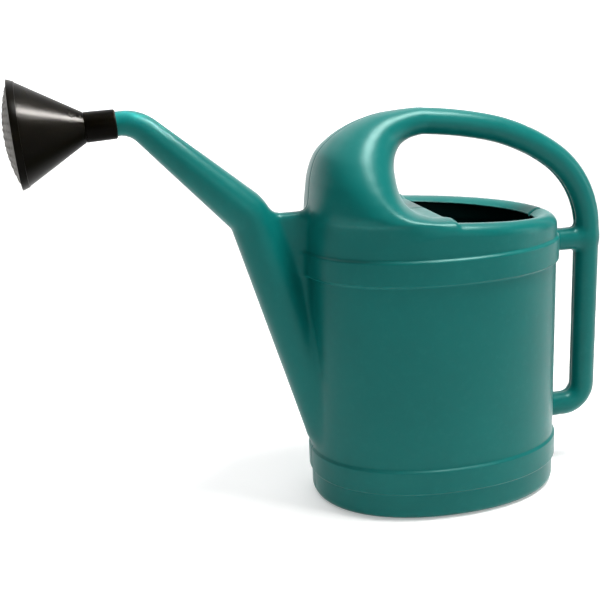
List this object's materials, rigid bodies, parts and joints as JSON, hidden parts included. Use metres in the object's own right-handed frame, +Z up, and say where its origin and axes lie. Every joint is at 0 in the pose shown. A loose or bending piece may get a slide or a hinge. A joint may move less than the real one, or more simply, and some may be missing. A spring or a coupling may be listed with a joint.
{
  "type": "watering can",
  "caption": "Oval plastic watering can with a hood that runs into a looped handle, a webbed two-part spout and a push-on cone rose.",
  "frame": {"origin": "centre of the tank's flat base, on the surface that the can stands on", "axes": "+Z up, -X the way the spout points, +Y across the can"},
  "size_m": [0.5815, 0.1934, 0.4372],
  "materials": {
    "can_plastic": "satin teal-green polyethylene",
    "rose_plastic": "semi-gloss black",
    "face_plastic": "matt grey"
  },
  "bodies": {
    "can": {"tank_base": "can_plastic", "tank_wall": "can_plastic", "hood": "can_plastic", "filler_rim": "can_plastic", "handle_arch": "can_plastic", "handle_post": "can_plastic", "handle_elbow": "can_plastic", "handle_bridge": "can_plastic", "spout_nozzle": "can_plastic", "spout_upper": "can_plastic", "spout_lower": "can_plastic", "spout_web": "can_plastic"},
    "rose_collar": {"rose_collar": "rose_plastic"},
    "rose_cone": {"rose_cone": "rose_plastic"},
    "rose_face": {"rose_face": "face_plastic"}
  },
  "joints": [
    {"name": "rose_pull_off", "type": "slide", "parent": "can", "child": "rose_collar", "axis": [-0.9988, 0, -0.0489], "range_m": [0, 0.06]},
    {"name": "rose_turn", "type": "hinge", "parent": "rose_collar", "child": "rose_cone", "pos_m": [-0.31249, 0, 0.39179], "axis": [-0.9988, 0, -0.0489], "continuous": true},
    {"name": "face_unclip", "type": "slide", "parent": "rose_cone", "child": "rose_face", "axis": [-0.9988, 0, -0.0489], "range_m": [0, 0.025]}
  ]
}
